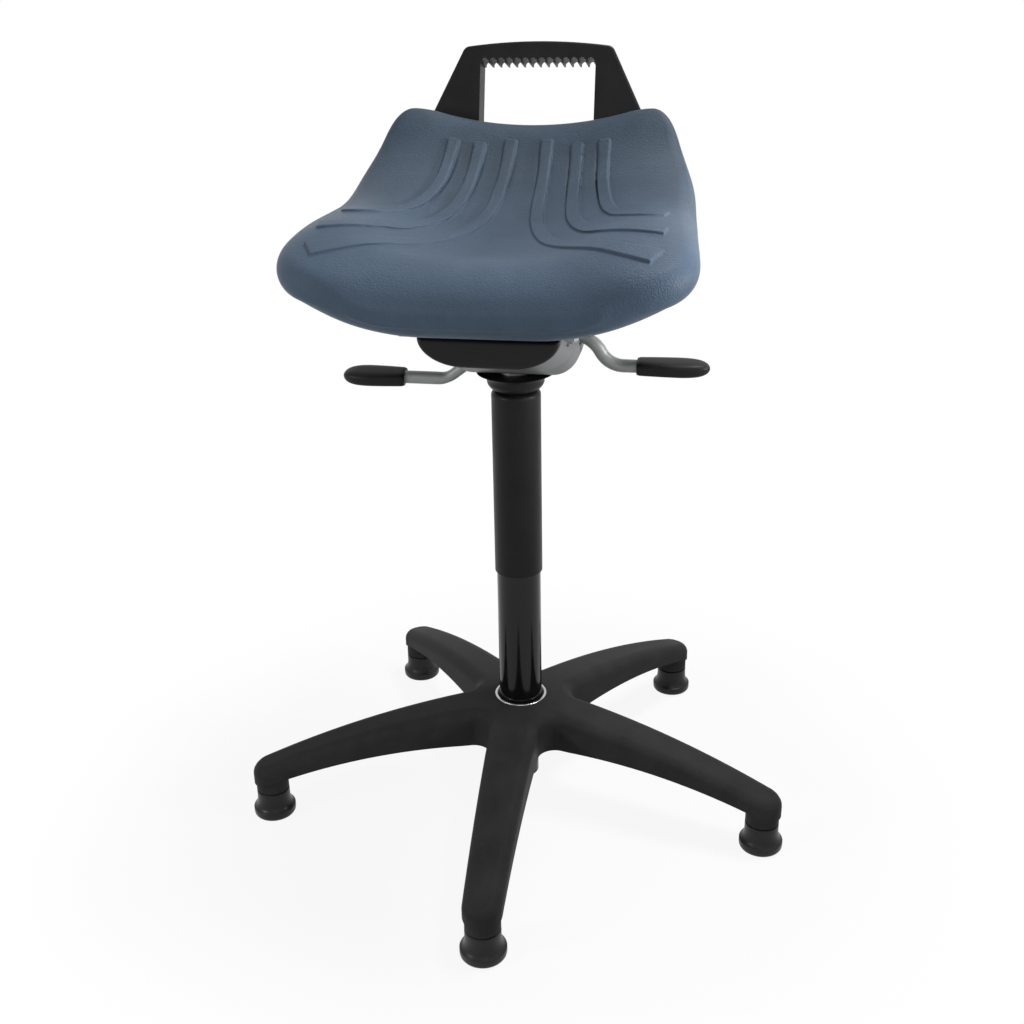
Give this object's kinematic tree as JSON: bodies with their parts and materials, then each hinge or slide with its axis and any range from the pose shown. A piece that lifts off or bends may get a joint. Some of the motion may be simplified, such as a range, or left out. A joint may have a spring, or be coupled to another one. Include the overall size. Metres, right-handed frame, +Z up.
{
  "type": "swivel stool",
  "caption": "Height-adjustable swivel stool with a tilting moulded seat, raised bands, a carrying handle, a sleeved gas column and a star base on glides.",
  "frame": {"origin": "on the swivel axis of the column, at floor level", "axes": "+Z up along the swivel axis, -Y is where the seat faces, +X is to the right in the picture"},
  "size_m": [0.619, 0.5979, 0.8485],
  "materials": {
    "base_plastic": "charcoal moulding with a fine grain",
    "glide_plastic": "smooth black moulding",
    "bright_steel": "ground bright",
    "plain_steel": "plain",
    "zinc_steel": "satin zinc plating",
    "black_paint": "gloss black enamel",
    "grey_paint": "satin grey enamel",
    "bush_plastic": "bearing plastic",
    "buffer_rubber": "soft",
    "sleeve_plastic": "satin black moulding",
    "cover_plastic": "satin black moulding",
    "paddle_plastic": "satin black moulding",
    "handle_plastic": "satin charcoal moulding",
    "seat_skin": "slate blue foam skin with a fine grain",
    "shell_wood": "plain beech plywood"
  },
  "bodies": {
    "base": {"star_base": "base_plastic", "hub_ring": "bright_steel", "stand_tube": "black_paint", "guide_bush": "bush_plastic", "lower_race": "plain_steel", "ball_cage": "plain_steel", "glide_1": "glide_plastic", "glide_2": "glide_plastic", "glide_3": "glide_plastic", "glide_4": "glide_plastic", "glide_5": "glide_plastic", "glide_stem_1": "plain_steel", "glide_stem_2": "plain_steel", "glide_stem_3": "plain_steel", "glide_stem_4": "plain_steel", "glide_stem_5": "plain_steel"},
    "piston": {"piston_rod": "bright_steel", "piston": "bush_plastic", "upper_race": "plain_steel", "buffer": "buffer_rubber", "rod_clip": "plain_steel"},
    "carrier": {"gas_cylinder": "black_paint", "rod_guide": "bush_plastic", "sleeve": "sleeve_plastic", "cone_socket": "plain_steel", "bell": "sleeve_plastic", "tilt_housing": "grey_paint", "front_cover": "cover_plastic", "tilt_axle": "plain_steel", "axle_caps": "plain_steel", "brake_anvil": "grey_paint", "height_lugs": "grey_paint", "tilt_lugs": "grey_paint", "height_pin": "plain_steel", "tilt_pin": "plain_steel"},
    "seat": {"seat_cushion": "seat_skin", "seat_shell": "shell_wood", "tee_nuts": "zinc_steel", "seat_bolts": "zinc_steel", "bolt_washers": "zinc_steel", "seat_plate": "black_paint", "axle_bushes": "bush_plastic", "quadrant": "plain_steel", "handle": "handle_plastic", "handle_screws": "zinc_steel"},
    "height_lever": {"height_rod": "zinc_steel", "height_paddle": "paddle_plastic"},
    "valve": {"valve_pin": "plain_steel"},
    "tilt_lever": {"tilt_rod": "zinc_steel", "tilt_paddle": "paddle_plastic", "brake_shoe": "plain_steel"}
  },
  "joints": [
    {"name": "swivel", "type": "hinge", "parent": "base", "child": "piston", "pos_m": [0, 0, 0], "axis": [0, 0, 1], "continuous": true},
    {"name": "height", "type": "slide", "parent": "piston", "child": "carrier", "axis": [0, 0, 1], "range_m": [-0.16, 0.035]},
    {"name": "seat_tilt", "type": "hinge", "parent": "carrier", "child": "seat", "pos_m": [0, -0.097, 0.589], "axis": [1, 0, 0], "range_deg": [-4, 6]},
    {"name": "height_pull", "type": "hinge", "parent": "carrier", "child": "height_lever", "pos_m": [0.052, 0, 0.57], "axis": [0, -1, 0], "range_deg": [0, 4], "stiffness_Nm_per_rad": 12, "springref_deg": -3.44},
    {"name": "valve_press", "type": "slide", "parent": "carrier", "child": "valve", "axis": [0, 0, 1], "range_m": [-0.004, 0]},
    {"name": "tilt_release", "type": "hinge", "parent": "carrier", "child": "tilt_lever", "pos_m": [-0.04, 0, 0.541], "axis": [0, 1, 0], "range_deg": [0, 6], "stiffness_Nm_per_rad": 12, "springref_deg": -3.44}
  ],
  "couplings": [
    {"joint": "valve_press", "follows": "height_pull", "m_per_rad": -0.056}
  ]
}
